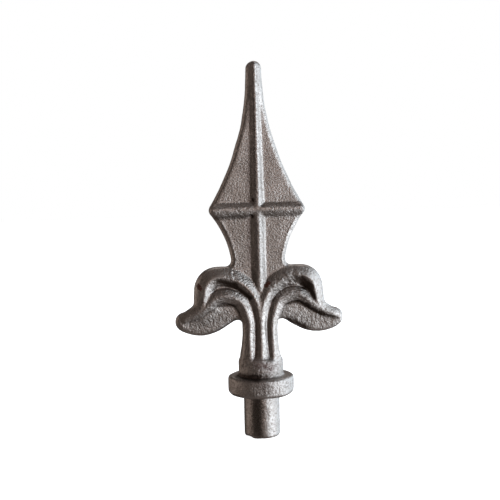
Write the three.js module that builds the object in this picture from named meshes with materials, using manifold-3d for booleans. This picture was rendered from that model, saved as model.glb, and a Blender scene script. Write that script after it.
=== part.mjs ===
// Fence spear finial: a single iron casting. A ribbed spear blade rises from two drooping leaves,
// a neck of three rolls runs down into a bell, and a collar sits on the post above a round spigot.
// Millimetres, +Z up, the front towards -Y. The origin is on the axis, in the collar's seat.
import * as THREE from "three";
import { mergeVertices } from "three/addons/utils/BufferGeometryUtils.js";
import Module from "manifold-3d";

// Spigot, collar and bell: radii and heights
const SPIGOT_RADIUS = 10;
const SPIGOT_LENGTH = 24;
const SPIGOT_EDGE = 1.4;
const COLLAR_RADIUS = 18.4;
const COLLAR_HEIGHT = 10.3;
const COLLAR_LOWER_EDGE = 2.6;
const COLLAR_UPPER_EDGE = 1.6;
const BELL_RADIUS = 12.5;
const BELL_TOP = 20;
const BELL_FOOT_FILLET = 1.2;
const BELL_SHOULDER = 2;
const BELL_CROWN = { radius: 8, rise: 2 };
const TURN_SEGMENTS = 40;
const PROFILE_STEPS = 3;

// Plate: the flat web of the blade and the leaves, with rounded edges
const PLATE_HALF = 4;
const EDGE_ROUND = 2.6;
const EDGE_STEPS = 3;
const CURVE_STEPS = 6;

// Spear blade outline
const TIP_TOP = 183.8;
const TIP_RADIUS = 4.1;
const CORNER = { x: 27.1, z: 102.7 };
const CORNER_CUT = 2.6;
const WAIST = { x: 14.9, z: 76 };
const UPPER_EDGE_PULL = { x: 4.7, z: 141 };
const LOWER_EDGE_PULL = { x: 17, z: 89 };

// Leaf outline: points that it passes through, and pulls that bend it between them
const LEAF_TOP = 71.5;
const WAIST_FILLET = 4.5;
const SHOULDER = { x: 23.4, radius: 12.5 };
const LEAF_SIDE = { x: 36.4, z: 52.5 };
const LEAF_BEND_PULL = { x: 36.8, z: 48.2 };
const LEAF_BROW = { x: 41, z: 47.1 };
const LEAF_BROW_PULL = { x: 44.3, z: 46.2 };
const LEAF_TIP = { x: 46.8, z: 41.2 };
const LEAF_TIP_PULLS = { above: 44.2, below: 36.4 };
const LEAF_BOTTOM = { x: 32.5, z: 33.8 };
const LEAF_BOTTOM_PULLS = { outer: 38, inner: 25.5 };
const CROTCH = { x: 15.6, z: 40.6 };
const CROTCH_PULLS = { leaf: { x: 20, z: 37.5 }, top: { x: 12, z: 43 }, neck: { x: 8.9, z: 42 } };
const NECK_SIDE = { x: 8.6, z: 36 };

// Blade ribs: the upright ridge, and the round bar across the widest point
const RIDGE_FOOT = 56;
const RIDGE_POINT_WIDTH = 1.2;
const RIDGE_RUN_IN = 6;
const RIDGE_HALF_WIDTH = 4.6;
const RIDGE_HALF_DEPTH = 6.4;
const RIDGE_TIP_WIDTH = 3.2;
const RIDGE_TIP_DEPTH = 5.5;
const RIDGE_TIP_RUN = 2.6;
const RIDGE_END_WIDTH = 1.8;
const RIDGE_END_DEPTH = 2.6;
const RIDGE_SLOPE = 0.84;
const RIDGE_CREST_WIDTH = 1;
const BAR_HALF_WIDTH = 4.8;
const BAR_HALF_DEPTH = 7;
const BAR_TAPER = 4.4;
const BAR_END_WIDTH = 2;
const BAR_SIDES = 14;

// Rolls of the neck and the leaves: each row is x, z, half-width, half-depth of the crest
const STEM = [
  [0, 15, 4.2, 11.2],
  [0, 20.5, 4.4, 11.2],
  [0, 27, 4, 9.8],
  [0, 34, 3.6, 8.9],
  [0, 43, 3.6, 8.8],
  [0, 52, 3, 8],
];
const MIDRIB = [
  [7.2, 15, 3.2, 8],
  [7.8, 20.5, 3.5, 9],
  [6.8, 26.5, 3.2, 8.8],
  [6.2, 34, 3.1, 8.5],
  [6.4, 42, 3.2, 8.5],
  [8, 50, 3.8, 8.5],
  [12.2, 55.2, 4.2, 8.4],
  [18.2, 57, 4.3, 8.2],
  [24, 55, 4, 7.8],
  [29.2, 50.4, 3.2, 7.1],
  [35, 46.2, 2.5, 6.3],
  [41.2, 43.6, 1.8, 5.2],
];
const RIM = [
  [1, 44, 2.8, 8.4],
  [1.5, 50.5, 3.3, 8.8],
  [4.6, 57, 3.8, 8.8],
  [9, 61.6, 4.3, 8.7],
  [14.6, 65.2, 4.7, 8.5],
  [20.8, 66.4, 4.9, 8.2],
  [26.2, 65.2, 5, 8],
  [29.6, 61.4, 5, 7.8],
  [30.8, 56.2, 4.7, 7.5],
  [31.9, 51, 4.1, 6.9],
  [35.4, 47, 3.6, 6.2],
  [41.6, 43.4, 3, 5.2],
];
const ROLL_SLOPE = 0.7;
const ROLL_STATIONS_PER_ROW = 3;
const ROLL_CREST_WIDTH = 0.5;

const IRON = new THREE.MeshStandardMaterial({ color: 0x6c6259, roughness: 0.55, metalness: 0.75 });

const wasm = await Module();
wasm.setup();

// A closed geometry as a solid, with shared corners merged and collapsed triangles dropped.
function solidOf(geometry) {
  geometry.deleteAttribute("normal");
  geometry.deleteAttribute("uv");
  const merged = mergeVertices(geometry, 1e-4);
  const corners = merged.index.array;
  const kept = [];
  for (let i = 0; i < corners.length; i += 3) {
    const [a, b, c] = corners.slice(i, i + 3);
    if (a !== b && b !== c && c !== a) kept.push(a, b, c);
  }
  const vertProperties = new Float32Array(merged.attributes.position.array);
  const triVerts = new Uint32Array(kept);
  return new wasm.Manifold(new wasm.Mesh({ numProp: 3, vertProperties, triVerts }));
}

// A solid back as a geometry with flat facets.
function geometryOf(solid) {
  const mesh = solid.getMesh();
  const geometry = new THREE.BufferGeometry();
  geometry.setAttribute("position", new THREE.BufferAttribute(mesh.vertProperties, 3));
  geometry.setIndex(new THREE.BufferAttribute(mesh.triVerts, 1));
  geometry.computeVertexNormals();
  return geometry;
}

// A closed skin over rings of equal length, with a flat cap on each end.
function loft(rings) {
  const sides = rings[0].length;
  const last = rings.length - 1;
  const points = rings.flat();
  const faces = [];
  for (let i = 0; i < last; i++) {
    for (let k = 0; k < sides; k++) {
      const a = i * sides + k;
      const b = i * sides + ((k + 1) % sides);
      faces.push(a, b, b + sides, a, b + sides, a + sides);
    }
  }
  for (let k = 1; k < sides - 1; k++) {
    faces.push(0, k + 1, k);
    faces.push(last * sides, last * sides + k, last * sides + k + 1);
  }
  const geometry = new THREE.BufferGeometry().setFromPoints(points);
  geometry.setIndex(faces);
  return geometry;
}

// Section of a round bar.
function ovalSection(halfWidth, halfDepth) {
  const points = [];
  for (let k = 0; k < BAR_SIDES; k++) {
    const angle = (2 * Math.PI * (k + 0.5)) / BAR_SIDES;
    points.push([halfWidth * Math.cos(angle), halfDepth * Math.sin(angle)]);
  }
  return points;
}

// Section of a crested bar: on each face, two flanks fall from a narrow crest to upright sides.
function crestedSection(slope, crestWidth) {
  return (halfWidth, crest) => {
    const top = Math.min(crestWidth, halfWidth / 2);
    const eaves = crest - slope * (halfWidth - top);
    const front = [
      [halfWidth, eaves],
      [top, crest],
      [-top, crest],
      [-halfWidth, eaves],
    ];
    const back = front.map(([u, v]) => [-u, -v]);
    return [...front, ...back];
  };
}

// One ring of a bar, square to its route in the plate's plane.
function ring(section, centre, along, halfWidth, halfDepth) {
  return section(halfWidth, halfDepth).map(
    ([u, v]) => new THREE.Vector3(centre.x + along.y * u, v, centre.y - along.x * u),
  );
}

// A crested roll along a smooth route through rows of x, z, half-width and half-depth.
function roll(rows) {
  const route = new THREE.SplineCurve(rows.map(([x, z]) => new THREE.Vector2(x, z)));
  const size = new THREE.SplineCurve(rows.map(([, , w, d]) => new THREE.Vector2(w, d)));
  const section = crestedSection(ROLL_SLOPE, ROLL_CREST_WIDTH);
  const stations = (rows.length - 1) * ROLL_STATIONS_PER_ROW;
  const rings = [];
  for (let i = 0; i <= stations; i++) {
    const t = i / stations;
    const { x: halfWidth, y: halfDepth } = size.getPoint(t);
    rings.push(ring(section, route.getPoint(t), route.getTangent(t), halfWidth, halfDepth));
  }
  return loft(rings);
}

// A straight bar through rows of the same kind.
function straightBar(rows, section) {
  const centres = rows.map(([x, z]) => new THREE.Vector2(x, z));
  const along = centres.at(-1).clone().sub(centres[0]).normalize();
  return loft(rows.map(([, , w, d], i) => ring(section, centres[i], along, w, d)));
}

function mirrored(rows) {
  return rows.map(([x, z, w, d]) => [-x, z, w, d]);
}

// A point at a distance from one point on the way to another.
function towards(from, to, distance) {
  const share = distance / Math.hypot(to.x - from.x, to.z - from.z);
  return { x: from.x + (to.x - from.x) * share, z: from.z + (to.z - from.z) * share };
}

// Right half of the outline, from the tip down the blade and round the leaf to the neck.
function halfOutline() {
  const path = new THREE.Path();
  const tipCentre = TIP_TOP - TIP_RADIUS;
  const shoulderCentre = LEAF_TOP - SHOULDER.radius;
  const noseTop = towards(CORNER, UPPER_EDGE_PULL, CORNER_CUT);
  const noseBottom = towards(CORNER, LOWER_EDGE_PULL, CORNER_CUT);
  const bend = (first, second, end) =>
    path.bezierCurveTo(first.x, first.z, second.x, second.z, end.x, end.z);
  path.moveTo(0, TIP_TOP);
  path.absarc(0, tipCentre, TIP_RADIUS, Math.PI / 2, 0, true);
  path.quadraticCurveTo(UPPER_EDGE_PULL.x, UPPER_EDGE_PULL.z, noseTop.x, noseTop.z);
  path.quadraticCurveTo(CORNER.x, CORNER.z, noseBottom.x, noseBottom.z);
  path.quadraticCurveTo(LOWER_EDGE_PULL.x, LOWER_EDGE_PULL.z, WAIST.x, WAIST.z);
  path.quadraticCurveTo(WAIST.x, LEAF_TOP, WAIST.x + WAIST_FILLET, LEAF_TOP);
  path.absarc(SHOULDER.x, shoulderCentre, SHOULDER.radius, Math.PI / 2, 0, true);
  path.lineTo(LEAF_SIDE.x, LEAF_SIDE.z);
  path.quadraticCurveTo(LEAF_BEND_PULL.x, LEAF_BEND_PULL.z, LEAF_BROW.x, LEAF_BROW.z);
  bend(LEAF_BROW_PULL, { x: LEAF_TIP.x, z: LEAF_TIP_PULLS.above }, LEAF_TIP);
  bend(
    { x: LEAF_TIP.x, z: LEAF_TIP_PULLS.below },
    { x: LEAF_BOTTOM_PULLS.outer, z: LEAF_BOTTOM.z },
    LEAF_BOTTOM,
  );
  bend({ x: LEAF_BOTTOM_PULLS.inner, z: LEAF_BOTTOM.z }, CROTCH_PULLS.leaf, CROTCH);
  bend(CROTCH_PULLS.top, CROTCH_PULLS.neck, NECK_SIDE);
  path.lineTo(NECK_SIDE.x, BELL_TOP - BELL_SHOULDER);
  return path.getPoints(CURVE_STEPS);
}

// The web of the blade and both leaves, rounded along its edge and parted in the plane y = 0.
function plate() {
  const right = halfOutline();
  const left = right.slice(1).reverse().map(({ x, y }) => new THREE.Vector2(-x, y));
  const core = 2 * (PLATE_HALF - EDGE_ROUND);
  const geometry = new THREE.ExtrudeGeometry(new THREE.Shape([...right, ...left]), {
    depth: core,
    bevelEnabled: true,
    bevelThickness: EDGE_ROUND,
    bevelSize: EDGE_ROUND,
    bevelOffset: -EDGE_ROUND,
    bevelSegments: EDGE_STEPS,
  });
  return geometry.translate(0, 0, -core / 2).rotateX(Math.PI / 2);
}

// Upright ridge of the blade, from its point between the leaves to the tip.
function ridge() {
  const rows = [
    [0, RIDGE_FOOT, RIDGE_POINT_WIDTH, PLATE_HALF],
    [0, RIDGE_FOOT + RIDGE_RUN_IN, RIDGE_HALF_WIDTH, RIDGE_HALF_DEPTH],
    [0, CORNER.z, RIDGE_HALF_WIDTH, RIDGE_HALF_DEPTH],
    [0, TIP_TOP - RIDGE_TIP_RUN, RIDGE_TIP_WIDTH, RIDGE_TIP_DEPTH],
    [0, TIP_TOP, RIDGE_END_WIDTH, RIDGE_END_DEPTH],
  ];
  return straightBar(rows, crestedSection(RIDGE_SLOPE, RIDGE_CREST_WIDTH));
}

// Round bar across the blade, which narrows into the two corners.
function crossBar() {
  const reach = CORNER.x - CORNER_CUT / 2;
  const full = reach - BAR_TAPER;
  const rows = [
    [-reach, CORNER.z, BAR_END_WIDTH, PLATE_HALF],
    [-full, CORNER.z, BAR_HALF_WIDTH, BAR_HALF_DEPTH],
    [full, CORNER.z, BAR_HALF_WIDTH, BAR_HALF_DEPTH],
    [reach, CORNER.z, BAR_END_WIDTH, PLATE_HALF],
  ];
  return straightBar(rows, ovalSection);
}

// Spigot, collar and bell, turned about the axis.
function turnedFoot() {
  const profile = new THREE.Path();
  const seatEdge = COLLAR_RADIUS - COLLAR_LOWER_EDGE;
  profile.moveTo(0, -SPIGOT_LENGTH);
  profile.lineTo(SPIGOT_RADIUS - SPIGOT_EDGE, -SPIGOT_LENGTH);
  profile.quadraticCurveTo(
    SPIGOT_RADIUS, -SPIGOT_LENGTH, SPIGOT_RADIUS, SPIGOT_EDGE - SPIGOT_LENGTH,
  );
  profile.lineTo(SPIGOT_RADIUS, 0);
  profile.lineTo(seatEdge, 0);
  profile.quadraticCurveTo(COLLAR_RADIUS, 0, COLLAR_RADIUS, COLLAR_LOWER_EDGE);
  profile.lineTo(COLLAR_RADIUS, COLLAR_HEIGHT - COLLAR_UPPER_EDGE);
  profile.quadraticCurveTo(
    COLLAR_RADIUS, COLLAR_HEIGHT, COLLAR_RADIUS - COLLAR_UPPER_EDGE, COLLAR_HEIGHT,
  );
  profile.lineTo(BELL_RADIUS + BELL_FOOT_FILLET, COLLAR_HEIGHT);
  profile.quadraticCurveTo(
    BELL_RADIUS, COLLAR_HEIGHT, BELL_RADIUS, COLLAR_HEIGHT + BELL_FOOT_FILLET,
  );
  profile.lineTo(BELL_RADIUS, BELL_TOP - BELL_SHOULDER);
  profile.quadraticCurveTo(
    BELL_RADIUS, BELL_TOP, BELL_RADIUS - BELL_SHOULDER, BELL_TOP + BELL_CROWN.rise / 2,
  );
  profile.lineTo(BELL_CROWN.radius, BELL_TOP + BELL_CROWN.rise);
  profile.lineTo(0, BELL_TOP + BELL_CROWN.rise);
  const turned = new THREE.LatheGeometry(profile.getPoints(PROFILE_STEPS), TURN_SEGMENTS);
  return turned.rotateX(Math.PI / 2);
}

// The whole casting in one body.
function casting() {
  const forms = [
    plate(),
    ridge(),
    crossBar(),
    roll(STEM),
    roll(MIDRIB),
    roll(mirrored(MIDRIB)),
    roll(RIM),
    roll(mirrored(RIM)),
    turnedFoot(),
  ];
  return forms.map(solidOf).reduce((whole, form) => whole.add(form));
}

const finial = new THREE.Mesh(geometryOf(casting()), IRON);
finial.name = "spear_finial";

const group = new THREE.Group();
group.add(finial);

export default group;
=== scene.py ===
"""Fence spear finial, dressed as a raw sand casting.

The form is a distance field in millimetres, worked out from the same kind of named sizes as the solid: a
rounded plate, a roof-shaped ridge, an oval bar, crested rolls and turned rings, run together with small
casting fillets. The field is meshed, roughened like a cast skin, and given a procedural iron material.
"""

import itertools
import math

import bpy
import numpy as np
from mathutils import Matrix, Vector, noise


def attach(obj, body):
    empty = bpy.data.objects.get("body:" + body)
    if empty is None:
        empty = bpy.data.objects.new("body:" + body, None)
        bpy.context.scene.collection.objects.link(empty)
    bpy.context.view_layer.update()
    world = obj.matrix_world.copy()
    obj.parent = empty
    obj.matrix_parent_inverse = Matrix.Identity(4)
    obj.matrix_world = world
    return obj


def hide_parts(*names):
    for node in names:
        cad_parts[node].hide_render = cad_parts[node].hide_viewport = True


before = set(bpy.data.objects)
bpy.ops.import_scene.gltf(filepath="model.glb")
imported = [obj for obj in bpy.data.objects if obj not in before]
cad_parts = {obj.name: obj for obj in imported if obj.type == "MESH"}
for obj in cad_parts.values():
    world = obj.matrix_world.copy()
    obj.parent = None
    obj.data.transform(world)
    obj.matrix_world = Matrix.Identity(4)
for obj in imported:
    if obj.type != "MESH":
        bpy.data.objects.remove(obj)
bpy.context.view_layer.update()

# Metres in a millimetre, and a guard against dividing by nothing
MM = 0.001
SMALL = 1e-6

# Spigot, collar and bell
SPIGOT_RADIUS = 10.0
SPIGOT_LENGTH = 24.0
SPIGOT_EDGE = 1.4
COLLAR_RADIUS = 18.4
COLLAR_HEIGHT = 10.3
COLLAR_LOWER_EDGE = 2.6
COLLAR_UPPER_EDGE = 1.6
BELL_RADIUS = 12.5
BELL_TOP = 20.5
BELL_LOWER_EDGE = 1.4
BELL_SHOULDER = 2.4

# Plate of the blade and leaves
PLATE_HALF = 4.0
EDGE_ROUND = 2.6

# Blade outline, as (x, z)
TIP_TOP = 183.8
TIP_RADIUS = 4.1
CORNER = (27.1, 102.7)
CORNER_CUT = 2.6
WAIST = (14.9, 76.0)
UPPER_EDGE_PULL = (4.4, 141.0)
LOWER_EDGE_PULL = (17.0, 89.0)

# Leaf outline: points that it passes through, and pulls that bend it between them
LEAF_TOP = 71.5
WAIST_FILLET = 4.5
SHOULDER_X = 23.4
SHOULDER_RADIUS = 12.5
LEAF_SIDE = (36.4, 52.5)
LEAF_BEND_PULL = (36.8, 48.2)
LEAF_BROW = (41.0, 47.1)
LEAF_BROW_PULL = (44.8, 46.6)
LEAF_TIP = (46.8, 41.2)
LEAF_TIP_PULL_ABOVE = (46.9, 44.8)
LEAF_TIP_PULL_BELOW = (46.8, 36.4)
LEAF_BOTTOM = (32.5, 33.8)
LEAF_BOTTOM_PULL_OUT = (38.0, 33.8)
LEAF_BOTTOM_PULL_IN = (25.5, 33.8)
CROTCH = (15.6, 40.6)
CROTCH_PULL_LEAF = (20.0, 37.5)
CROTCH_PULL_TOP = (12.0, 43.0)
CROTCH_PULL_NECK = (8.9, 42.0)
NECK_SIDE = (8.6, 36.0)
CURVE_STEPS = 16

# Ridge: half-width where its flank meets the flat, half-depth and rounding of its crest, at bar and tip
RIDGE_HALF_WIDTH = 3.9
RIDGE_HALF_DEPTH = 6.4
RIDGE_ROUND = 2.4
RIDGE_TIP_WIDTH = 2.4
RIDGE_TIP_DEPTH = 5.5
RIDGE_TIP_ROUND = 0.5

# Bar across the blade: half its width and depth, and how far its middle is above the corner
BAR_HALF_WIDTH = 4.75
BAR_HALF_DEPTH = 6.5
BAR_LIFT = 0.2

# Rolls: each row is x, z, half-width, half-depth of the crest
STEM = (
    (0, 15, 3.8, 11.2),
    (0, 20.5, 3.8, 11.2),
    (0, 27, 3.5, 9.8),
    (0, 34, 3.2, 8.9),
    (0, 43, 3.3, 8.8),
    (0, 52, 2.9, 8),
)
MIDRIB = (
    (6.2, 15, 4.4, 8.2),
    (6.5, 20.5, 4.6, 9.6),
    (6.5, 26.5, 3.5, 9.2),
    (6.3, 34, 3.1, 8.5),
    (6.6, 42, 3.4, 8.5),
    (9, 50, 4.1, 8.2),
    (12.5, 53.7, 4, 7.9),
    (18.4, 55.9, 4.1, 7.7),
    (24, 54.7, 3.9, 7.4),
    (29.2, 50.4, 3.2, 6.9),
    (35, 46.2, 2.5, 6.2),
    (41.2, 43.6, 1.8, 5.2),
)
RIM = (
    (1, 44, 3.3, 8.4),
    (1.5, 50.5, 3.9, 8.6),
    (4.6, 57, 4.3, 7.8),
    (9, 61.6, 5.2, 7.3),
    (14.6, 65.2, 5.4, 7.2),
    (20.8, 66.4, 5.1, 7.1),
    (26.2, 65.2, 5.1, 7.2),
    (29.6, 61.4, 5, 7.2),
    (30.8, 56.2, 4.7, 7),
    (31.9, 51, 4.1, 6.6),
    (35.4, 47, 3.6, 6),
    (41.6, 43.4, 3, 5.2),
)
ROLL_SLOPE = 0.7
ROLL_ROUND = 0.8
ROLL_SIDE_ROUND = 0.8
ROLL_STEPS = 14

# Casting fillets, the flash where the mould parts, and the burr along the lower blade's edge
RIB_FILLET = 0.6
ROLL_FILLET = 0.6
FOOT_FILLET = 1.6
FLASH_HEIGHT = 0.25
FLASH_WIDTH = 0.6
BURR_HEIGHT = 0.2
BURR_WIDTH = 0.45
BURR_INSET = 2.2
BURR_ENDS = (72.0, 98.0)

# Mesh: spacing of its grid, room around the casting, a grid cell's corners and the steps along its edges
GRID = 0.55
MARGIN = 1.5
CELL_CORNERS = tuple(itertools.product((0, 1), repeat=3))
CELL_EDGES = np.eye(3, dtype=int)

# Cast skin: size and height of its swells, lumps and grains, and of the grains of burnt-in sand
SKIN = ((11.0, 0.25), (3.0, 0.05), (1.3, 0.055))
GRIT_SIZE = 1.7
GRIT_HEIGHT = 0.4

# Marks of the mould on the front: two ends (x, z), half-width and height, below zero for a pit
CAST_MARKS = (
    # Right leaf
    ((14.6, 67.4), (17.4, 63.4), 0.8, 0.45),
    ((18.0, 66.6), (19.8, 63.8), 1.1, -0.55),
    ((21.0, 68.6), (21.8, 65.4), 0.9, 0.3),
    ((16.5, 61.8), (21.0, 61.0), 0.9, 0.4),
    ((21.8, 57.2), (26.2, 52.9), 1.0, 0.4),
    ((17.0, 42.4), (20.4, 39.6), 1.0, -0.5),
    # Left leaf
    ((-14.4, 68.6), (-13.6, 65.4), 0.7, -0.35),
    ((-15.8, 68.8), (-15.2, 66.0), 0.8, 0.3),
    ((-27.0, 48.0), (-21.8, 50.8), 0.8, 0.35),
    ((-31.5, 43.4), (-24.5, 48.0), 2.0, 0.5),
    ((-43.0, 39.8), (-42.6, 39.6), 0.8, 0.5),
    # Ridge and spigot
    ((-2.6, 108.6), (-2.2, 108.0), 0.7, -0.5),
    ((-4.0, 99.6), (-3.2, 99.4), 0.8, -0.6),
    ((-8.2, -23.6), (-7.0, -24.0), 0.9, -0.6),
)

# Sand burnt into the front, and smooth metal there: two ends (x, z), reach and strength
GRIT_MARKS = (
    # Right leaf
    ((7.0, 60.0), (18.0, 66.5), 3.0, 1.0),
    ((11.0, 55.5), (26.0, 54.5), 3.0, 1.0),
    ((24.0, 52.0), (38.0, 43.5), 1.8, 1.0),
    ((11.5, 44.0), (15.0, 47.5), 1.6, 1.0),
    ((16.5, 42.0), (26.0, 38.0), 2.6, 1.0),
    ((20.0, 44.0), (38.0, 40.0), 5.0, 0.6),
    # Left leaf
    ((-17.0, 66.5), (-14.0, 66.0), 2.0, 0.8),
    ((-27.0, 52.0), (-14.0, 55.0), 2.2, 0.7),
    ((-38.0, 41.0), (-20.0, 44.0), 5.0, 0.6),
    # Bar, bell and collar
    ((-25.0, 100.2), (25.0, 100.2), 2.2, 0.7),
    ((-10.0, 17.0), (10.0, 17.0), 3.0, 0.8),
    ((11.0, 12.0), (-11.0, 12.0), 1.5, 0.7),
    ((-15.0, 5.0), (15.0, 5.0), 4.0, 0.6),
)
SMOOTH_MARKS = (
    # Ridge, left rim, neck and spigot
    ((2.4, 69.0), (1.6, 165.0), 2.4, 0.7),
    ((-11.5, 64.0), (-3.5, 55.5), 2.0, 0.5),
    ((-4.4, 22.0), (-4.6, 47.0), 1.5, 0.6),
    ((1.8, 22.0), (1.8, 46.0), 1.3, 0.4),
    ((8.2, 22.0), (8.2, 46.0), 1.3, 0.5),
    ((-3.0, -5.0), (-3.0, -23.0), 5.0, 0.9),
)

# Values of grit: smooth metal, plain cast skin and burnt-in sand
SMOOTH = -1
PLAIN = 0
SANDY = 1

# Painted shade on the front, darkening creases, the hollows of the leaves, the lines under the bar and the
# spigot's shaded side, and places where the painted shade is lifted: two ends (x, z), reach and strength
SHADE_MARKS = (
    # Right leaf
    ((23.4, 64.2), (27.0, 60.0), 2.6, 1.0),
    ((27.0, 60.0), (30.2, 53.5), 1.6, 1.0),
    ((17.4, 65.4), (19.8, 62.6), 0.6, 0.9),
    ((6.0, 52.0), (11.0, 55.6), 1.1, 0.5),
    ((14.5, 50.6), (22.0, 51.2), 1.2, 0.6),
    ((22.0, 51.2), (34.0, 44.4), 1.3, 0.9),
    ((34.0, 44.4), (43.6, 41.2), 1.0, 0.8),
    ((25.8, 50.2), (27.2, 49.2), 0.8, 1.0),
    ((15.8, 41.4), (26.0, 36.8), 1.9, 0.9),
    # Left leaf
    ((-22.5, 64.3), (-13.8, 62.0), 1.4, 1.0),
    ((-13.8, 61.6), (-5.6, 54.6), 1.5, 1.0),
    ((-25.0, 50.4), (-13.0, 50.6), 1.1, 0.6),
    ((-36.0, 40.5), (-18.0, 44.5), 4.5, 0.3),
    # Ridge and bar
    ((2.4, 69.0), (1.6, 165.0), 3.0, 0.21),
    ((-5.6, 74.0), (-5.0, 96.0), 1.2, 0.2),
    ((-2.9, 108.6), (-2.5, 107.8), 0.7, 1.0),
    ((-3.9, 99.6), (-3.1, 99.2), 0.8, 0.8),
    ((-23.0, 98.6), (-7.0, 98.6), 1.3, 0.55),
    ((6.0, 101.6), (23.0, 101.4), 1.8, 0.32),
    # Neck, bell and spigot
    ((8.2, 22.0), (8.2, 46.0), 1.3, 0.3),
    ((-14.0, 11.0), (-4.0, 11.0), 1.8, 0.7),
    ((-4.0, 11.4), (2.0, 11.6), 2.0, 0.45),
    ((-3.2, -3.0), (-2.8, -24.0), 2.6, 0.5),
    ((-9.9, -1.0), (-9.9, -24.0), 0.9, 0.8),
    ((-9.5, -24.0), (1.0, -24.0), 0.7, 0.7),
)
SHADE_LIFT_MARKS = (
    # Right leaf, left leaf, bar and collar
    ((16.0, 61.4), (21.0, 61.0), 1.0, 0.4),
    ((-22.0, 59.6), (-12.5, 58.6), 1.3, 0.6),
    ((-32.0, 44.2), (-24.0, 49.2), 1.4, 0.8),
    ((7.0, 98.2), (21.0, 98.2), 1.0, 0.25),
    ((12.0, 10.8), (17.5, 10.4), 1.8, 1.4),
)

# Rust on the front: two ends (x, z), reach and strength
RUST_MARKS = (
    # Left rim, right rim, ridge, bell and collar
    ((-33.6, 62.0), (-32.8, 60.6), 0.8, 6.0),
    ((3.6, 61.0), (5.2, 62.4), 0.9, 3.0),
    ((-5.6, 76.0), (-4.6, 140.0), 1.0, 0.35),
    ((-3.4, 18.6), (4.2, 15.8), 2.4, 0.85),
    ((-4.0, 8.0), (5.0, 6.0), 2.4, 0.12),
)

# How far off the surface a hollow is felt, for the painted shade in hollows, and how deep below it a worn
# edge
HOLLOW_REACH = 2.0
WEAR_REACH = 2.0

# Iron: its darkest and palest metal, and its specks, worn edges, painted shade and rust
DARK_IRON = (0.3, 0.266, 0.247, 1)
PALE_IRON = (0.375, 0.335, 0.315, 1)
SPECK_COLOUR = (0.22, 0.185, 0.165, 1)
WORN_COLOUR = (0.5, 0.48, 0.47, 1)
PAINTED_SHADE_COLOUR = (0.03, 0.018, 0.012, 1)
RUST_COLOUR = (0.055, 0.014, 0.006, 1)

# Iron: size and detail of its noise, and the range of the noise over which each effect sets in
MOTTLE_SIZE = 9.0
GRAIN_SIZE = 1.0
NOISE_DETAIL = 3.0
MOTTLE_RANGE = (0.35, 0.65)
SPECK_RANGE = (0.5, 0.68)
RUST_RANGE = (0.3, 0.55)
GLOSS_RANGE = (0.35, 0.7)

# Iron: the range of wear and painted shade that shows, and the share of the metal that it covers
WEAR_RANGE = (0.2, 0.6)
WEAR_SHARE = (0, 0.4)
PAINTED_SHADE_RANGE = (0.15, 0.9)
PAINTED_SHADE_SHARE = (0, 0.9)

# Iron: roughness of its shiny and dull specks, from smooth metal to sand; how strongly its grain shows, from
# smooth metal to plain skin; and the height of the grain, from plain skin to sand
SHINY_ROUGHNESS = (0.2, 0.4)
DULL_ROUGHNESS = (0.36, 0.68)
GRAIN_STRENGTH = (0.25, 0.8)
GRAIN_HEIGHT = (0.5 * MM, 0.9 * MM)

# Photograph's viewpoint, with lengths in millimetres
IMAGE_PIXELS = 500
FOCAL_PIXELS = 933.0
VIEW_DISTANCE = 518.0
VIEW_AZIMUTH = math.radians(-5.0)
VIEW_ELEVATION = math.radians(4.5)
VIEW_ROLL = math.radians(1.5)
VIEW_TARGET = (-4.35, 0.0, 80.5)
SENSOR = 36.0

# Studio lights, in metres: name, place, point that the light faces, size, radiance and colour
MIDDLE = (0, 0, 0.1)
LIGHTS = (
    ("key_right", (0.55, 0.13, 0.1), (0, 0.13, 0.1), (1.55, 0.9), 2.5, (0.77, 0.9, 1)),
    ("key_front", (0.6, -0.5, 0.1), MIDDLE, (0.45, 0.9), 2.7, (0.79, 0.91, 1)),
    ("fill_front", (0.05, -0.9, 0.32), MIDDLE, (0.7, 0.6), 1.1, (1, 0.86, 0.8)),
    ("rim_left", (-0.6, 0.4, 0.1), (0, 0.4, 0.1), (1.0, 0.8), 0.55, (1, 0.87, 0.79)),
    ("back", (0.15, 0.7, 0.8), MIDDLE, (0.7, 0.6), 1.2, (1, 0.96, 0.94)),
    ("top", (0, 0.1, 0.8), MIDDLE, (0.8, 0.6), 0.45, (1, 0.91, 0.88)),
    ("low_front", (0.24, -0.66, -0.07), (0, 0, 0), (0.35, 0.25), 1.0, (1, 0.88, 0.83)),
    ("low_right", (0.6, -0.15, -0.35), MIDDLE, (0.5, 0.6), 1.3, (0.9, 0.95, 1)),
    ("low", (0, -0.1, -0.4), MIDDLE, (1.0, 0.8), 0.2, (1, 0.9, 0.86)),
)

# Surroundings and floor
WHITE = (1, 1, 1, 1)
DIM_ROOM = (0.05, 0.04, 0.033, 1)
FLOOR_SIZE = 6
FLOOR_COLOUR = (0.9, 0.9, 0.9, 1)
FLOOR_ROUGHNESS = 0.9
FLOOR_GLOW = 1.0


def bezier(points):
    """Points along a quadratic or cubic curve, without its first one."""
    t = np.linspace(0, 1, CURVE_STEPS + 1)[1:, None]
    points = [np.array(p, float) for p in points]
    while len(points) > 1:
        points = [a * (1 - t) + b * t for a, b in zip(points, points[1:])]
    return points[0]


def arc(centre, radius, start, end):
    """Points along an arc, without its first one; angles in degrees."""
    angle = np.radians(np.linspace(start, end, CURVE_STEPS + 1)[1:])
    return np.array(centre) + radius * np.stack([np.cos(angle), np.sin(angle)], 1)


def towards(start, end, distance):
    """A point at a distance from one point on the way to another."""
    start, end = np.array(start), np.array(end)
    return start + (end - start) * distance / np.linalg.norm(end - start)


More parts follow.
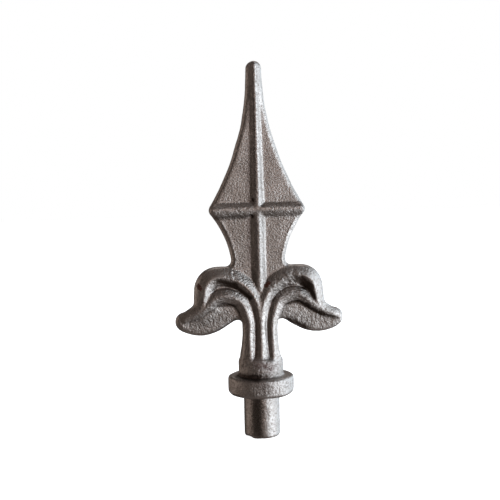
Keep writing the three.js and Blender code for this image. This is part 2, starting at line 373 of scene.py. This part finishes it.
def outline():
    """The closed outline of the blade, leaves and neck, as points (x, z)."""
    tip_centre = TIP_TOP - TIP_RADIUS
    nose_top = towards(CORNER, UPPER_EDGE_PULL, CORNER_CUT)
    nose_bottom = towards(CORNER, LOWER_EDGE_PULL, CORNER_CUT)
    leaf_start = (WAIST[0] + WAIST_FILLET, LEAF_TOP)
    shoulder_centre = (SHOULDER_X, LEAF_TOP - SHOULDER_RADIUS)
    right = np.concatenate([
        [(0, TIP_TOP)],
        arc((0, tip_centre), TIP_RADIUS, 90, 0),
        bezier([(TIP_RADIUS, tip_centre), UPPER_EDGE_PULL, nose_top]),
        bezier([nose_top, CORNER, nose_bottom]),
        bezier([nose_bottom, LOWER_EDGE_PULL, WAIST]),
        bezier([WAIST, (WAIST[0], LEAF_TOP), leaf_start]),
        [(SHOULDER_X, LEAF_TOP)],
        arc(shoulder_centre, SHOULDER_RADIUS, 90, 0),
        [LEAF_SIDE],
        bezier([LEAF_SIDE, LEAF_BEND_PULL, LEAF_BROW]),
        bezier([LEAF_BROW, LEAF_BROW_PULL, LEAF_TIP_PULL_ABOVE, LEAF_TIP]),
        bezier([LEAF_TIP, LEAF_TIP_PULL_BELOW, LEAF_BOTTOM_PULL_OUT, LEAF_BOTTOM]),
        bezier([LEAF_BOTTOM, LEAF_BOTTOM_PULL_IN, CROTCH_PULL_LEAF, CROTCH]),
        bezier([CROTCH, CROTCH_PULL_TOP, CROTCH_PULL_NECK, NECK_SIDE]),
        [(NECK_SIDE[0], BELL_TOP - BELL_SHOULDER)],
    ])
    left = right[:0:-1] * (-1, 1)
    return np.concatenate([right, left])


def spline(rows):
    """Smooth rows between the given ones, by a uniform Catmull-Rom curve."""
    rows = np.array(rows, float)
    padded = np.concatenate([rows[:1], rows, rows[-1:]])
    t = np.linspace(0, 1, ROLL_STEPS, endpoint=False)[:, None]
    spans = []
    for before, start, end, after in zip(padded, padded[1:], padded[2:], padded[3:]):
        leave = (end - before) / 2
        arrive = (after - start) / 2
        rise = end - start
        bend = 3 * rise - 2 * leave - arrive
        twist = leave + arrive - 2 * rise
        spans.append(start + leave * t + bend * t**2 + twist * t**3)
    return np.concatenate(spans + [rows[-1:]])


def along_segment(x, z, start, end):
    """Share of the way along a segment that is nearest to each point, and the distance to it."""
    ex, ez = end[0] - start[0], end[1] - start[1]
    share = ((x - start[0]) * ex + (z - start[1]) * ez) / max(ex * ex + ez * ez, SMALL)
    share = np.clip(share, 0, 1)
    return share, np.hypot(x - start[0] - share * ex, z - start[1] - share * ez)


def signed_distance(x, z, polygon):
    """Distance from points to a closed outline, negative inside."""
    x, z = np.broadcast_arrays(x, z)
    nearest = np.full(x.shape, np.inf)
    inside = np.zeros(x.shape, bool)
    for start, end in zip(polygon, np.roll(polygon, -1, axis=0)):
        nearest = np.minimum(nearest, along_segment(x, z, start, end)[1])
        rise = end[1] - start[1]
        if rise:
            crosses = (start[1] > z) != (end[1] > z)
            inside ^= crosses & (x < start[0] + (z - start[1]) * (end[0] - start[0]) / rise)
    return np.where(inside, -nearest, nearest)


def nearest_on(x, z, rows):
    """Distance from points to a roll's centre line, with its half-width and half-depth there."""
    x, z = np.broadcast_arrays(x, z)
    nearest = np.full(x.shape, np.inf)
    width = np.zeros(x.shape)
    depth = np.zeros(x.shape)
    for start, end in zip(rows, rows[1:]):
        share, gap = along_segment(x, z, start, end)
        closer = gap < nearest
        nearest = np.where(closer, gap, nearest)
        width = np.where(closer, start[2] + share * (end[2] - start[2]), width)
        depth = np.where(closer, start[3] + share * (end[3] - start[3]), depth)
    return nearest, width, depth


def smooth_min(a, b, radius):
    """Union of two fields with a fillet where they meet."""
    blend = np.maximum(radius - np.abs(a - b), 0) / radius
    return np.minimum(a, b) - blend * blend * radius / 4


def smooth_max(a, b, radius):
    """Common part of two fields, with the edge between them rounded."""
    return -smooth_min(-a, -b, radius)


def hump(distance, width):
    """A soft hump of height one."""
    return np.exp(-((distance / width) ** 2))


def rounded_box(u, v, radius):
    """Distance to a rounded corner, where u and v are distances past its two sharp sides."""
    u = u + radius
    v = v + radius
    outside = np.hypot(np.maximum(u, 0), np.maximum(v, 0))
    return outside + np.minimum(np.maximum(u, v), 0) - radius


def oval_field(side, y, half_width, half_depth):
    """Distance to an oval bar, at a distance to the side of its centre line and a height over it."""
    level = np.hypot(side / half_width, y / half_depth)
    slope = np.hypot(side / half_width**2, y / half_depth**2)
    return level * (level - 1) / np.maximum(slope, SMALL)


def roof_field(side, y, crest, slope, crest_round):
    """Two flat flanks that fall away from a slightly rounded crest."""
    eased = np.sqrt(side**2 + crest_round**2) - crest_round
    return (y - crest + slope * eased) / np.sqrt(1 + slope**2)


def roll_field(x, y, z, rows):
    """A crested bar along a curve in the plate's plane."""
    gap, width, crest = nearest_on(x, z, spline(rows))
    roof = roof_field(gap, y, crest, ROLL_SLOPE, ROLL_ROUND)
    return smooth_max(roof, gap - width, ROLL_SIDE_ROUND)


def turned_field(radius, z, edge_radius, low, high, low_edge, high_edge):
    """A turned disc between two heights, with its own rounding at each end."""
    middle = (low + high) / 2
    half = (high - low) / 2
    edge = np.where(z > middle, high_edge, low_edge)
    return rounded_box(radius - edge_radius, np.abs(z - middle) - half, edge)


def plate_field(edge, y, z):
    """The web of the blade and leaves, with its burr and its parting flash."""
    on_lower_blade = (z > BURR_ENDS[0]) & (z < BURR_ENDS[1])
    burr = BURR_HEIGHT * hump(edge + BURR_INSET, BURR_WIDTH) * on_lower_blade
    flash = FLASH_HEIGHT * hump(y, FLASH_WIDTH)
    return rounded_box(edge, y - PLATE_HALF - burr, EDGE_ROUND) - flash


def rib_field(edge, x, y, z):
    """The blade's ridge and the bar across it, cut off by the outline."""
    rise = np.clip((z - CORNER[1]) / (TIP_TOP - CORNER[1]), 0, 1)
    width = RIDGE_HALF_WIDTH + (RIDGE_TIP_WIDTH - RIDGE_HALF_WIDTH) * rise
    depth = RIDGE_HALF_DEPTH + (RIDGE_TIP_DEPTH - RIDGE_HALF_DEPTH) * rise
    crest_round = RIDGE_ROUND + (RIDGE_TIP_ROUND - RIDGE_ROUND) * rise
    slope = (depth - PLATE_HALF) / (np.hypot(width, crest_round) - crest_round)
    ridge = roof_field(x, y, depth, slope, crest_round)
    bar = oval_field(z - CORNER[1] - BAR_LIFT, y, BAR_HALF_WIDTH, BAR_HALF_DEPTH)
    return smooth_max(smooth_min(ridge, bar, RIB_FILLET), edge, EDGE_ROUND)


def foot_field(radius, z):
    """The bell and the collar, without the spigot."""
    bell = turned_field(radius, z, BELL_RADIUS, 0, BELL_TOP, BELL_LOWER_EDGE, BELL_SHOULDER)
    collar = turned_field(
        radius, z, COLLAR_RADIUS, 0, COLLAR_HEIGHT, COLLAR_LOWER_EDGE, COLLAR_UPPER_EDGE
    )
    return smooth_min(bell, collar, FOOT_FILLET)


def casting_field(x, y, z):
    """Distance to the whole casting, for x and y on the positive side."""
    edge = signed_distance(x, z, outline())
    body = smooth_min(plate_field(edge, y, z), rib_field(edge, x, y, z), RIB_FILLET)
    for rows in (STEM, RIM, MIDRIB):
        body = smooth_min(body, roll_field(x, y, z, rows), ROLL_FILLET)
    radius = np.hypot(x, y)
    body = smooth_min(body, foot_field(radius, z), FOOT_FILLET)
    spigot = turned_field(
        radius, z, SPIGOT_RADIUS, -SPIGOT_LENGTH, COLLAR_HEIGHT, SPIGOT_EDGE, SPIGOT_EDGE
    )
    return np.minimum(body, spigot)


def mirrored_axis(reach):
    """Grid lines on the positive side, half a step off the middle."""
    return np.arange(GRID / 2, reach + MARGIN, GRID)


def mirrored_field(x, y, z):
    """The field on the whole grid, from one quarter of it."""
    quarter = casting_field(x[:, None, None], y[None, :, None], z[None, None, :])
    half = np.concatenate([quarter[::-1], quarter], axis=0)
    return np.concatenate([half[:, ::-1], half], axis=1)


def crossed_cells(inside):
    """The grid cells that the surface passes through, by their lowest corners."""
    shape = [n - 1 for n in inside.shape]
    count = np.zeros(shape, np.int8)
    for corner in CELL_CORNERS:
        count += inside[tuple(slice(c, c + n) for c, n in zip(corner, shape))]
    return np.argwhere((count > 0) & (count < len(CELL_CORNERS)))


def cell_vertices(field, cells, axes):
    """One vertex in each cell, in the middle of the places where the surface cuts its edges."""
    total = np.zeros((len(cells), 3))
    cuts = np.zeros(len(cells))
    for axis, step in enumerate(CELL_EDGES):
        for corner in CELL_CORNERS:
            if corner[axis]:
                continue
            start = cells + corner
            at_start = field[tuple(start.T)]
            at_end = field[tuple((start + step).T)]
            cut = (at_start < 0) != (at_end < 0)
            point = start.astype(float)
            point[:, axis] += np.where(cut, at_start / np.where(cut, at_start - at_end, 1), 0)
            total += point * cut[:, None]
            cuts += cut
    places = total / cuts[:, None]
    return np.stack([np.interp(p, np.arange(len(a)), a) for p, a in zip(places.T, axes)], 1)


def cell_quads(inside, cells):
    """A quad for each grid line that the surface cuts, between the four cells around it."""
    number = np.full([n - 1 for n in inside.shape], -1)
    number[tuple(cells.T)] = np.arange(len(cells))
    inner = [slice(1, n - 1) for n in inside.shape]
    quads = []
    for axis, step in enumerate(CELL_EDGES):
        u, v = np.roll(CELL_EDGES, -axis - 1, axis=0)[:2]
        low, high = list(inner), list(inner)
        low[axis], high[axis] = slice(0, -1), slice(1, None)
        starts, ends = inside[tuple(low)], inside[tuple(high)]
        for cut, turn in ((starts & ~ends, 1), (~starts & ends, -1)):
            base = np.argwhere(cut) + 1 - step
            ring = [base - u - v, base - v, base, base - u][::turn]
            quads.append(np.stack([number[tuple(cell.T)] for cell in ring], 1))
    return np.concatenate(quads)


def surface_net(field, axes):
    """Vertices and quads of the field's zero surface, one vertex in each cell that it crosses."""
    inside = field < 0
    cells = crossed_cells(inside)
    return cell_vertices(field, cells, axes), cell_quads(inside, cells)


def field_at(field, axes, points):
    """The field at any points, blended between the grid's corners."""
    origin = np.array([axis[0] for axis in axes])
    place = (points - origin) / GRID
    top = np.array(field.shape) - 2
    cell = np.clip(np.floor(place).astype(int), 0, top)
    share = np.clip(place - cell, 0, 1)
    total = np.zeros(len(points))
    for corner in CELL_CORNERS:
        weight = np.prod(np.where(corner, share, 1 - share), axis=1)
        total += weight * field[tuple((cell + corner).T)]
    return total


def front_marks(points, marks):
    """Heights or strengths of the marks at the points on the front, and nothing at the back."""
    height = np.zeros(len(points))
    for start, end, width, rise in marks:
        gap = along_segment(points[:, 0], points[:, 2], start, end)[1]
        height += rise * hump(gap, width)
    return height * (points[:, 1] < 0)


def noise_at(points, size):
    """Noise with lumps of a size, between about -1 and 1."""
    return np.array([noise.noise(p) for p in (points / size).tolist()])


def cast_skin(points, grit):
    """Height of the cast skin over the true form."""
    height = front_marks(points, CAST_MARKS)
    for size, rise in SKIN:
        height += rise * noise_at(points, size)
    return height + GRIT_HEIGHT * np.maximum(grit, PLAIN) * noise_at(points, GRIT_SIZE)


def surface_marks(field, axes, points, normals):
    """Grit, painted shade, wear and rust at each vertex; the painted shade also darkens hollows, and wear is
    on edges.
    """
    grit = front_marks(points, GRIT_MARKS) - front_marks(points, SMOOTH_MARKS)
    # Painted shade: darker where the surface curls into a hollow, plus the painted shade marks, less the
    # places where it is lifted
    hollow = 1 - field_at(field, axes, points + normals * HOLLOW_REACH) / HOLLOW_REACH
    marked_shade = front_marks(points, SHADE_MARKS) - front_marks(points, SHADE_LIFT_MARKS)
    wear = 1 + field_at(field, axes, points - normals * WEAR_REACH) / WEAR_REACH
    return {
        "grit": np.clip(grit, SMOOTH, SANDY),
        "painted_shade": np.clip(np.maximum(hollow, 0) + marked_shade, 0, 1),
        "wear": np.clip(wear, 0, 1),
        "rust": front_marks(points, RUST_MARKS),
    }


def casting_mesh():
    """The casting as a mesh in metres, with its grit, painted shade, wear and rust kept on its vertices."""
    x = mirrored_axis(LEAF_TIP[0])
    y = mirrored_axis(COLLAR_RADIUS)
    z = np.arange(-SPIGOT_LENGTH - MARGIN, TIP_TOP + MARGIN, GRID)
    axes = (np.concatenate([-x[::-1], x]), np.concatenate([-y[::-1], y]), z)
    field = mirrored_field(x, y, z)
    points, quads = surface_net(field, axes)

    mesh = bpy.data.meshes.new("spear_finial_casting")
    mesh.from_pydata((points * MM).tolist(), [], quads.tolist())
    normals = np.empty(3 * len(points))
    mesh.vertices.foreach_get("normal", normals)
    normals = normals.reshape(-1, 3)

    marks = surface_marks(field, axes, points, normals)
    skin = cast_skin(points, marks["grit"])
    mesh.vertices.foreach_set("co", ((points + normals * skin[:, None]) * MM).ravel())
    mesh.polygons.foreach_set("use_smooth", [True] * len(mesh.polygons))
    mesh.update()
    for name, values in marks.items():
        attribute = mesh.attributes.new(name, "FLOAT", "POINT")
        attribute.data.foreach_set("value", values.astype(np.float32))
    return mesh


class Nodes:
    """Short ways to add and join the nodes of one material."""

    # Places of the colour sockets on a Mix node
    MIX_FIRST = 6
    MIX_SECOND = 7
    MIX_RESULT = 2

    def __init__(self, material):
        material.use_nodes = True
        self.tree = material.node_tree
        self.shader = self.tree.nodes["Principled BSDF"]
        self.place = self.tree.nodes.new("ShaderNodeTexCoord").outputs["Object"]

    def set(self, socket, value):
        """Link a socket to another, or give it a fixed value."""
        if isinstance(value, bpy.types.NodeSocket):
            self.tree.links.new(value, socket)
        else:
            socket.default_value = value

    def noise(self, size):
        """Noise with grains of a size in millimetres, between 0 and 1."""
        node = self.tree.nodes.new("ShaderNodeTexNoise")
        self.set(node.inputs["Vector"], self.place)
        self.set(node.inputs["Scale"], 1 / (size * MM))
        self.set(node.inputs["Detail"], NOISE_DETAIL)
        return node.outputs["Fac"]

    def attribute(self, name):
        """A number kept on the mesh's vertices."""
        node = self.tree.nodes.new("ShaderNodeAttribute")
        node.attribute_name = name
        return node.outputs["Fac"]

    def spread(self, value, old_range, new_range=(0, 1)):
        """Stretch a range of values to another range, and hold it there."""
        node = self.tree.nodes.new("ShaderNodeMapRange")
        names = ("Value", "From Min", "From Max", "To Min", "To Max")
        for name, given in zip(names, (value, *old_range, *new_range)):
            self.set(node.inputs[name], given)
        return node.outputs["Result"]

    def times(self, first, second):
        """Product of two values, held between 0 and 1."""
        node = self.tree.nodes.new("ShaderNodeMath")
        node.operation = "MULTIPLY"
        node.use_clamp = True
        self.set(node.inputs[0], first)
        self.set(node.inputs[1], second)
        return node.outputs["Value"]

    def blend(self, factor, first, second):
        """Colour between two others."""
        node = self.tree.nodes.new("ShaderNodeMix")
        node.data_type = "RGBA"
        self.set(node.inputs["Factor"], factor)
        self.set(node.inputs[self.MIX_FIRST], first)
        self.set(node.inputs[self.MIX_SECOND], second)
        return node.outputs[self.MIX_RESULT]

    def bump(self, height, strength, distance):
        """Normals of a surface that is raised by a height."""
        node = self.tree.nodes.new("ShaderNodeBump")
        self.set(node.inputs["Height"], height)
        self.set(node.inputs["Strength"], strength)
        self.set(node.inputs["Distance"], distance)
        return node.outputs["Normal"]


def iron_material():
    """Raw cast iron: mottled brown grey, darkened with painted shade in hollows and creases, pale on the
    worn edges, a little rust.
    """
    material = bpy.data.materials.new("cast_iron")
    nodes = Nodes(material)
    mottle = nodes.spread(nodes.noise(MOTTLE_SIZE), MOTTLE_RANGE)
    grain = nodes.noise(GRAIN_SIZE)
    wear = nodes.spread(nodes.attribute("wear"), WEAR_RANGE, WEAR_SHARE)
    painted_shade = nodes.spread(nodes.attribute("painted_shade"), PAINTED_SHADE_RANGE, PAINTED_SHADE_SHARE)
    rust = nodes.times(nodes.attribute("rust"), nodes.spread(grain, RUST_RANGE))
    grit = nodes.attribute("grit")

    colour = nodes.blend(mottle, DARK_IRON, PALE_IRON)
    colour = nodes.blend(nodes.spread(grain, SPECK_RANGE), colour, SPECK_COLOUR)
    colour = nodes.blend(wear, colour, WORN_COLOUR)
    # Painted shade: hollows, creases and shaded sides are darkened toward near black
    colour = nodes.blend(painted_shade, colour, PAINTED_SHADE_COLOUR)
    colour = nodes.blend(rust, colour, RUST_COLOUR)

    shiny = nodes.spread(grit, (SMOOTH, SANDY), SHINY_ROUGHNESS)
    dull = nodes.spread(grit, (SMOOTH, SANDY), DULL_ROUGHNESS)
    strength = nodes.spread(grit, (SMOOTH, PLAIN), GRAIN_STRENGTH)
    distance = nodes.spread(grit, (PLAIN, SANDY), GRAIN_HEIGHT)

    sockets = nodes.shader.inputs
    nodes.set(sockets["Base Color"], colour)
    nodes.set(sockets["Roughness"], nodes.spread(grain, GLOSS_RANGE, (shiny, dull)))
    nodes.set(sockets["Metallic"], nodes.spread(rust, (0, 1), (1, 0)))
    nodes.set(sockets["Normal"], nodes.bump(grain, strength, distance))
    return material


def make_camera():
    """Camera at the photograph's viewpoint."""
    data = bpy.data.cameras.new("camera")
    data.sensor_width = SENSOR
    data.lens = SENSOR * FOCAL_PIXELS / IMAGE_PIXELS
    camera = bpy.data.objects.new("camera", data)
    bpy.context.scene.collection.objects.link(camera)
    level_right = Vector((math.cos(VIEW_AZIMUTH), math.sin(VIEW_AZIMUTH), 0))
    level_back = Vector((math.sin(VIEW_AZIMUTH), -math.cos(VIEW_AZIMUTH), 0))
    back = math.cos(VIEW_ELEVATION) * level_back + math.sin(VIEW_ELEVATION) * Vector((0, 0, 1))
    level_up = back.cross(level_right)
    right = math.cos(VIEW_ROLL) * level_right - math.sin(VIEW_ROLL) * level_up
    up = math.sin(VIEW_ROLL) * level_right + math.cos(VIEW_ROLL) * level_up
    turn = Matrix((right, up, back)).transposed().to_4x4()
    place = (Vector(VIEW_TARGET) + back * VIEW_DISTANCE) * MM
    camera.matrix_world = Matrix.Translation(place) @ turn
    bpy.context.scene.camera = camera


def soft_light(name, place, target, size, radiance, colour):
    """A large panel of light that faces its target."""
    data = bpy.data.lights.new(name, "AREA")
    data.shape = "RECTANGLE"
    data.size, data.size_y = size
    data.energy = radiance * math.pi * size[0] * size[1]
    data.color = colour
    light = bpy.data.objects.new(name, data)
    bpy.context.scene.collection.objects.link(light)
    light.location = place
    light.rotation_euler = (Vector(target) - Vector(place)).to_track_quat("-Z", "Y").to_euler()


def make_world():
    """Surroundings that are white behind the object and dim as a light."""
    world = bpy.data.worlds.new("studio")
    bpy.context.scene.world = world
    world.use_nodes = True
    nodes = world.node_tree.nodes
    links = world.node_tree.links
    dim = nodes["Background"]
    dim.inputs["Color"].default_value = DIM_ROOM
    seen = nodes.new("ShaderNodeBackground")
    seen.inputs["Color"].default_value = WHITE
    path = nodes.new("ShaderNodeLightPath")
    mix = nodes.new("ShaderNodeMixShader")
    links.new(path.outputs["Is Camera Ray"], mix.inputs["Fac"])
    links.new(dim.outputs["Background"], mix.inputs[1])
    links.new(seen.outputs["Background"], mix.inputs[2])
    links.new(mix.outputs["Shader"], nodes["World Output"].inputs["Surface"])


def make_floor():
    """A plain white floor that the casting doesn't mirror."""
    bpy.ops.mesh.primitive_plane_add(size=FLOOR_SIZE, location=(0, 0, -SPIGOT_LENGTH * MM))
    floor = bpy.context.object
    floor.name = "floor"
    floor.visible_glossy = False
    floor.visible_diffuse = False
    floor.visible_shadow = False
    material = bpy.data.materials.new("pale_floor")
    material.use_nodes = True
    shader = material.node_tree.nodes["Principled BSDF"]
    shader.inputs["Base Color"].default_value = FLOOR_COLOUR
    shader.inputs["Roughness"].default_value = FLOOR_ROUGHNESS
    shader.inputs["Emission Color"].default_value = WHITE
    shader.inputs["Emission Strength"].default_value = FLOOR_GLOW
    floor.data.materials.append(material)


def make_studio():
    """Pale floor, white surroundings and soft lights."""
    bpy.context.scene.view_settings.view_transform = "Standard"
    make_world()
    make_floor()
    for light in LIGHTS:
        soft_light(*light)


def make_finial():
    """The casting, in the place of the solid."""
    finial = bpy.data.objects.new("spear_finial_casting", casting_mesh())
    bpy.context.scene.collection.objects.link(finial)
    finial.data.materials.append(iron_material())
    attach(finial, "root")
    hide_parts("spear_finial")


make_camera()
make_studio()
make_finial()
